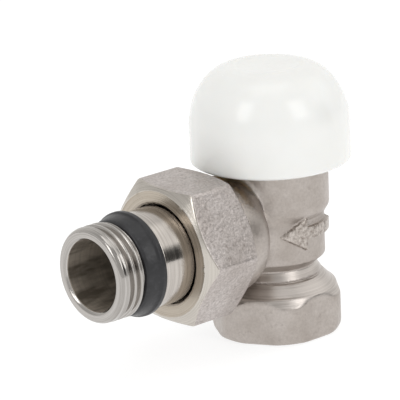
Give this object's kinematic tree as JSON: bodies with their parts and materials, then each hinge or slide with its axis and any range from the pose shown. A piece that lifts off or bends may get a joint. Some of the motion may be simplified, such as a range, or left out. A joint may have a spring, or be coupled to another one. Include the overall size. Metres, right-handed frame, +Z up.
{
  "type": "thermostatic radiator valve",
  "caption": "Angle-pattern thermostatic radiator valve with protective screw cap, spring-loaded insert, union nut and self-sealing tailpiece.",
  "frame": {"origin": "centre of the inlet's end face, where the inlet thread's axis meets it", "axes": "+Z up along the valve pin, from the inlet towards the cap; -X along the tailpiece, towards the radiator"},
  "size_m": [0.0707, 0.0352, 0.0601],
  "materials": {
    "nickel_body": "satin nickel plate over sand-blasted forging",
    "nickel_polished": "polished nickel plate",
    "cap_white": "glossy moulded white plastic",
    "black_rubber": "matte moulded rubber",
    "brass": "machined",
    "stainless": "ground stainless steel",
    "ptfe": "white low-friction plastic",
    "fibre": "pressed red fibre"
  },
  "bodies": {
    "body": {"valve_body": "nickel_body", "insert_bonnet": "brass", "bonnet_o_ring": "black_rubber", "stem_guide": "brass", "return_spring": "stainless", "pin_o_ring": "black_rubber", "packing_washer": "ptfe", "gland_seal": "fibre", "gland_nut": "brass"},
    "stem": {"actuator_pin": "stainless", "valve_stem": "stainless", "spring_cup": "brass", "stem_circlip": "stainless", "disc_holder": "brass", "seal_disc": "black_rubber", "seal_washer": "stainless", "seal_screw": "stainless"},
    "cap_carrier": {"cap_thrust_disc": "stainless"},
    "cap": {"protective_cap": "cap_white"},
    "tail": {"tailpiece": "nickel_polished", "tail_o_ring": "black_rubber", "tail_seal_ring": "black_rubber"},
    "nut": {"union_nut": "nickel_body"}
  },
  "joints": [
    {"name": "pin_travel", "type": "slide", "parent": "body", "child": "stem", "axis": [0, 0, 1], "range_m": [-0.003, 0], "stiffness_N_per_m": 2500, "springref_m": 0.004, "deforming": ["return_spring"]},
    {"name": "cap_lift", "type": "slide", "parent": "body", "child": "cap_carrier", "axis": [0, 0, 1], "range_m": [0, 0.009]},
    {"name": "cap_turn", "type": "hinge", "parent": "cap_carrier", "child": "cap", "pos_m": [0, 0, 0.045], "axis": [0, 0, 1], "range_deg": [0, 2165]},
    {"name": "union_draw", "type": "slide", "parent": "body", "child": "tail", "axis": [-1, 0, 0], "range_m": [0, 0.0072]},
    {"name": "nut_turn", "type": "hinge", "parent": "tail", "child": "nut", "pos_m": [-0.026, 0, 0.0249], "axis": [-1, 0, 0], "range_deg": [0, 1435]}
  ],
  "couplings": [
    {"joint": "cap_turn", "follows": "cap_lift", "rad_per_m": 4188.8},
    {"joint": "nut_turn", "follows": "union_draw", "rad_per_m": 3463.1}
  ]
}
